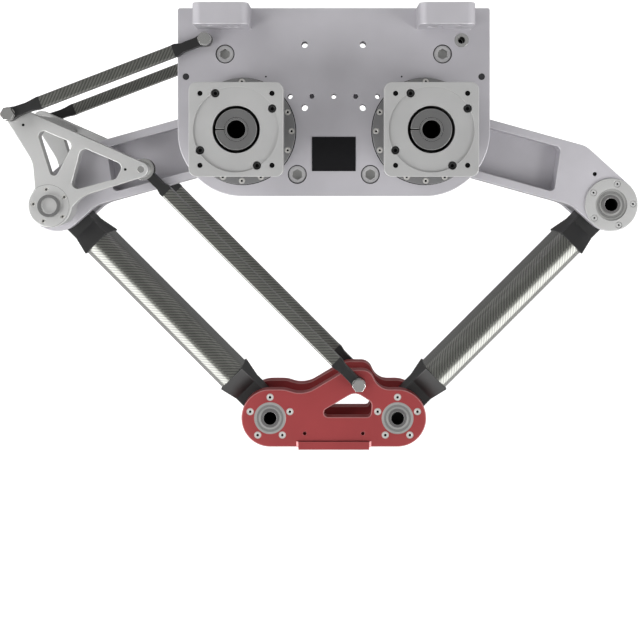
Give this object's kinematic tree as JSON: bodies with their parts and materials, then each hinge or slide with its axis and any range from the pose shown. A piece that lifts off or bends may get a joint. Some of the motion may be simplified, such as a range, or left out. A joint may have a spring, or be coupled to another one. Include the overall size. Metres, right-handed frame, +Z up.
{
  "type": "two-axis parallel robot",
  "caption": "Hanging planar robot: plate with two drives, bent upper arms, carbon lower arms, red platform, and rods that keep it level.",
  "frame": {"origin": "middle of the base plate's top face, where the robot hangs from its beam", "axes": "+X from the left shoulder to the right one, +Y from the motors back to the arms, +Z up"},
  "size_m": [0.8822, 0.2958, 0.6165],
  "materials": {
    "anodised_plate": "satin anodised",
    "light_aluminium": "satin milled",
    "dark_housing": "satin",
    "steel": "satin",
    "bearing_steel": "ground",
    "dark_trim": "matt",
    "carbon": "twill carbon under clear resin",
    "black_fitting": "black anodised",
    "red_anodised": "red anodised"
  },
  "bodies": {
    "frame": {"base_plate": "anodised_plate", "plate_cap_screws": "steel", "edge_plugs": "dark_trim", "label_plate": "dark_trim", "anchor_bushes": "bearing_steel", "anchor_spacer": "steel", "anchor_bolts": "steel", "rear_rod_post": "steel", "left_motor_adapter": "light_aluminium", "left_adapter_screws": "steel", "left_gearbox_housing": "dark_housing", "left_ring_screws": "steel", "right_motor_adapter": "light_aluminium", "right_adapter_screws": "steel", "right_gearbox_housing": "dark_housing", "right_ring_screws": "steel"},
    "left_input": {"left_clamp_hub": "steel", "left_shaft_bush": "steel"},
    "right_input": {"right_clamp_hub": "steel", "right_shaft_bush": "steel"},
    "left_upper": {"left_upper_arm": "anodised_plate", "left_output_flange": "dark_housing", "left_elbow_bearings": "bearing_steel"},
    "right_upper": {"right_upper_arm": "anodised_plate", "right_output_flange": "dark_housing", "right_elbow_bearings": "bearing_steel", "right_elbow_caps": "light_aluminium", "right_elbow_screws": "steel"},
    "rocker": {"rocker_front_frame": "light_aluminium", "rocker_rear_frame": "light_aluminium", "rocker_crossbar": "light_aluminium", "rocker_hub_screws": "steel", "rocker_rod_bolts": "steel"},
    "left_elbow_pivot": {"left_elbow_shaft": "bearing_steel"},
    "left_lower": {"left_lower_tube": "carbon", "left_elbow_tongue": "black_fitting", "left_platform_tongue": "black_fitting"},
    "left_platform_pivot": {"left_platform_shaft": "bearing_steel"},
    "platform": {"platform_front_plate": "red_anodised", "platform_rear_plate": "red_anodised", "tool_block": "red_anodised", "platform_bearings": "bearing_steel", "platform_bearing_screws": "steel", "right_platform_stubs": "bearing_steel", "rod_pivot_spacers": "steel", "rod_pivot_bolt": "steel"},
    "rod_pins": {"long_rod_pins": "steel"},
    "long_rods": {"long_rod_front_tube": "carbon", "long_rod_front_ends": "black_fitting", "long_rod_rear_tube": "carbon", "long_rod_rear_ends": "black_fitting"},
    "short_rods": {"short_rod_front_tube": "carbon", "short_rod_front_ends": "black_fitting", "short_rod_rear_tube": "carbon", "short_rod_rear_ends": "black_fitting"},
    "right_elbow_pivot": {"right_elbow_shaft": "bearing_steel"},
    "right_lower": {"right_lower_tube": "carbon", "right_elbow_tongue": "black_fitting", "right_platform_tongue": "black_fitting", "right_platform_core": "bearing_steel"}
  },
  "joints": [
    {"name": "left_drive", "type": "hinge", "parent": "frame", "child": "left_upper", "pos_m": [-0.125, 0.071, -0.169], "axis": [0, -1, 0], "range_deg": [-12, 12]},
    {"name": "right_drive", "type": "hinge", "parent": "frame", "child": "right_upper", "pos_m": [0.125, 0.071, -0.169], "axis": [0, -1, 0], "range_deg": [-12, 12]},
    {"name": "left_input_turn", "type": "hinge", "parent": "frame", "child": "left_input", "pos_m": [-0.125, 0.071, -0.169], "axis": [0, -1, 0], "range_deg": [-240.1, 240.1]},
    {"name": "right_input_turn", "type": "hinge", "parent": "frame", "child": "right_input", "pos_m": [0.125, 0.071, -0.169], "axis": [0, -1, 0], "range_deg": [-240.1, 240.1]},
    {"name": "rocker_pivot", "type": "hinge", "parent": "left_upper", "child": "rocker", "pos_m": [-0.39107, 0.071, -0.27114], "axis": [0, -1, 0], "range_deg": [-12.1, 12.1]},
    {"name": "left_elbow_turn", "type": "hinge", "parent": "rocker", "child": "left_elbow_pivot", "pos_m": [-0.39107, 0.071, -0.27114], "axis": [0, -1, 0], "range_deg": [-3.4, 3.4]},
    {"name": "left_elbow_swing", "type": "hinge", "parent": "left_elbow_pivot", "child": "left_lower", "pos_m": [-0.39107, 0.071, -0.27114], "axis": [0, -1, 0], "range_deg": [-7.4, 7.4]},
    {"name": "left_platform_swing", "type": "hinge", "parent": "left_lower", "child": "left_platform_pivot", "pos_m": [-0.09, 0.071, -0.57252], "axis": [0, -1, 0], "range_deg": [-7.4, 7.4]},
    {"name": "left_platform_turn", "type": "hinge", "parent": "left_platform_pivot", "child": "platform", "pos_m": [-0.09, 0.071, -0.57252], "axis": [0, -1, 0], "range_deg": [-3.4, 3.4]},
    {"name": "long_rod_turn", "type": "hinge", "parent": "rocker", "child": "rod_pins", "pos_m": [-0.26607, 0.071, -0.22113], "axis": [0, -1, 0], "range_deg": [-3.4, 3.4]},
    {"name": "long_rod_swing", "type": "hinge", "parent": "rod_pins", "child": "long_rods", "pos_m": [-0.26607, 0.071, -0.22113], "axis": [0, -1, 0], "range_deg": [-7.4, 7.4]},
    {"name": "short_rod_swing", "type": "hinge", "parent": "frame", "child": "short_rods", "pos_m": [-0.175, 0.071, -0.044], "axis": [0, -1, 0], "range_deg": [-12.1, 12.1]},
    {"name": "right_elbow_turn", "type": "hinge", "parent": "right_upper", "child": "right_elbow_pivot", "pos_m": [0.39107, 0.071, -0.27114], "axis": [0, -1, 0], "range_deg": [-8.8, 8.8]},
    {"name": "right_elbow_swing", "type": "hinge", "parent": "right_elbow_pivot", "child": "right_lower", "pos_m": [0.39107, 0.071, -0.27114], "axis": [0, -1, 0], "range_deg": [-7.4, 7.4]}
  ],
  "couplings": [
    {"joint": "left_input_turn", "follows": "left_drive", "ratio": -20},
    {"joint": "right_input_turn", "follows": "right_drive", "ratio": -20},
    {"joint": "rocker_pivot", "follows": "left_drive", "ratio": -1},
    {"joint": "left_elbow_turn", "follows": "left_drive", "ratio": 0.27243},
    {"joint": "left_elbow_swing", "follows": "right_drive", "ratio": 0.61132},
    {"joint": "left_platform_swing", "follows": "right_drive", "ratio": -0.61132},
    {"joint": "left_platform_turn", "follows": "left_drive", "ratio": -0.27243},
    {"joint": "long_rod_turn", "follows": "left_drive", "ratio": 0.27243},
    {"joint": "long_rod_swing", "follows": "right_drive", "ratio": 0.61132},
    {"joint": "short_rod_swing", "follows": "left_drive", "ratio": 1},
    {"joint": "right_elbow_turn", "follows": "right_drive", "ratio": -0.72757},
    {"joint": "right_elbow_swing", "follows": "left_drive", "ratio": 0.61132}
  ]
}
